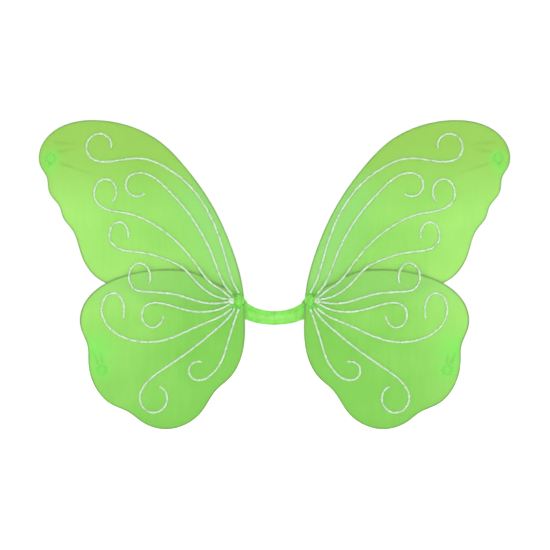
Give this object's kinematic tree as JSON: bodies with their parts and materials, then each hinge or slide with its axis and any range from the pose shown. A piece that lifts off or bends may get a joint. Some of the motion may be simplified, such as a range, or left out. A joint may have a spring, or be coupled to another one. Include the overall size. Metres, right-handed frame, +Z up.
{
  "type": "dress-up fairy wings",
  "caption": "Green nylon-covered wire fairy wings with silver glitter scrolls, folding on a soft centre band, with elastic arm loops behind.",
  "frame": {"origin": "the middle of the centre band's back face, where the wings rest on the wearer's back; it is on the mirror plane, 15.5 mm below the wing roots", "axes": "+X to the right as seen from the glitter side, +Y towards the wearer's back, +Z up; the wings are spread flat in the XZ plane at rest"},
  "size_m": [0.4804, 0.0137, 0.3148],
  "materials": {
    "nylon": "stretched sheer stocking nylon, bright green, slightly shiny",
    "band_nylon": "soft gathered nylon, bright green, matt",
    "wire": "thin steel wire with a dull coat",
    "glitter": "dried glitter glue, silver flakes with coloured glints",
    "thread": "twisted sewing thread, satin",
    "tape": "soft florist's tape, matt",
    "elastic": "braided elastic, pale green, matt",
    "glue": "dried hot glue, milky"
  },
  "bodies": {
    "band": {"centre_sleeve": "band_nylon", "centre_elastic": "elastic", "centre_stitches": "thread"},
    "right_wing": {"right_upper_wire": "wire", "right_lower_wire": "wire", "right_upper_nylon": "nylon", "right_lower_nylon": "nylon", "right_upper_tail": "nylon", "right_lower_tail": "nylon", "right_upper_tie": "thread", "right_lower_tie": "thread", "right_root_knot": "nylon", "right_root_lashing": "tape", "right_root_glitter": "glitter", "right_stem_tape": "tape", "right_stem_cap": "glue", "right_scroll_1": "glitter", "right_scroll_2": "glitter", "right_scroll_3": "glitter", "right_scroll_4": "glitter", "right_scroll_5": "glitter", "right_scroll_6": "glitter", "right_scroll_7": "glitter", "right_scroll_8": "glitter", "right_scroll_9": "glitter"},
    "right_loop": {"right_arm_loop": "elastic", "right_loop_whipping": "thread"},
    "left_wing": {"left_upper_wire": "wire", "left_lower_wire": "wire", "left_upper_nylon": "nylon", "left_lower_nylon": "nylon", "left_upper_tail": "nylon", "left_lower_tail": "nylon", "left_upper_tie": "thread", "left_lower_tie": "thread", "left_root_knot": "nylon", "left_root_lashing": "tape", "left_root_glitter": "glitter", "left_stem_tape": "tape", "left_stem_cap": "glue", "left_scroll_1": "glitter", "left_scroll_2": "glitter", "left_scroll_3": "glitter", "left_scroll_4": "glitter", "left_scroll_5": "glitter", "left_scroll_6": "glitter", "left_scroll_7": "glitter", "left_scroll_8": "glitter", "left_scroll_9": "glitter"},
    "left_loop": {"left_arm_loop": "elastic", "left_loop_whipping": "thread"}
  },
  "joints": [
    {"name": "right_wing_fold", "type": "hinge", "parent": "band", "child": "right_wing", "pos_m": [0.0285, -0.0025, 0.0069], "axis": [0, 0, 1], "range_deg": [-90, 15]},
    {"name": "right_loop_swing", "type": "hinge", "parent": "right_wing", "child": "right_loop", "pos_m": [0.0285, -0.0025, 0.007], "axis": [0, 0, 1], "range_deg": [0, 90]},
    {"name": "left_wing_fold", "type": "hinge", "parent": "band", "child": "left_wing", "pos_m": [-0.0285, -0.0025, 0.0069], "axis": [0, 0, -1], "range_deg": [-90, 15]},
    {"name": "left_loop_swing", "type": "hinge", "parent": "left_wing", "child": "left_loop", "pos_m": [-0.0285, -0.0025, 0.007], "axis": [0, 0, -1], "range_deg": [0, 90]}
  ]
}
